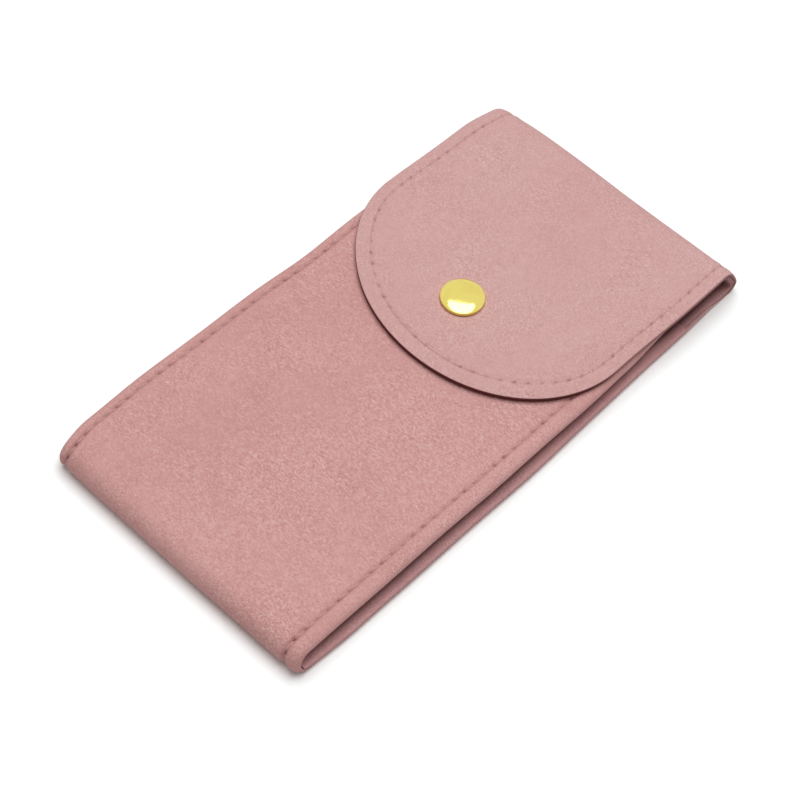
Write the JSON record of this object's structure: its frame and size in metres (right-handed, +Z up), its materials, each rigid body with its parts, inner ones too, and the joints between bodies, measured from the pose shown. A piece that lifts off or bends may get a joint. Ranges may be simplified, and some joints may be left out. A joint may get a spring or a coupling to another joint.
{
  "type": "watch pouch",
  "caption": "Slim suede pouch for one wristwatch: flat panels folded from one strip, V-folded side gussets, rounded flap held by a ring snap.",
  "frame": {"origin": "on the surface the pouch lies on, below the middle of its length and width", "axes": "+X across the pouch, +Y along it to the fold of the flap, +Z up through the front panel, the flap and the snap cap"},
  "size_m": [0.0764, 0.152, 0.0123],
  "materials": {
    "suede": "matte microfibre suede with a fine mottled nap, dusty rose",
    "lining": "matte short-nap suede lining, dusty rose",
    "board": "plain matte stiffening board",
    "thread": "satin twisted sewing thread, a little darker than the suede",
    "brass": "polished yellow brass"
  },
  "bodies": {
    "back": {"back_skin": "suede", "back_lining": "lining", "back_board": "board", "back_left_thread": "thread", "back_right_thread": "thread", "bottom_fold_skin": "suede", "bottom_fold_lining": "lining", "top_fold_skin": "suede", "top_fold_lining": "lining", "left_gusset": "suede", "right_gusset": "suede"},
    "front": {"front_skin": "suede", "front_lining": "lining", "front_board": "board", "front_left_thread": "thread", "front_right_thread": "thread", "mouth_thread": "thread", "snap_stud": "brass", "snap_rivet": "brass"},
    "flap": {"flap_skin": "suede", "flap_lining": "lining", "flap_board": "board", "flap_thread": "thread", "snap_cap": "brass", "snap_socket": "brass"}
  },
  "joints": [
    {"name": "flap_hinge", "type": "hinge", "parent": "back", "child": "flap", "pos_m": [0, 0.076, 0.0025], "axis": [-1, 0, 0], "range_deg": [0, 160], "deforming": ["top_fold_skin", "top_fold_lining"]},
    {"name": "front_lift", "type": "hinge", "parent": "back", "child": "front", "pos_m": [0, -0.0719, 0.0041], "axis": [1, 0, 0], "range_deg": [0, 6], "deforming": ["bottom_fold_skin", "bottom_fold_lining", "left_gusset", "right_gusset"]}
  ],
  "couplings": [
    {"joint": "front_lift", "follows": "flap_hinge", "ratio": 0.037}
  ]
}
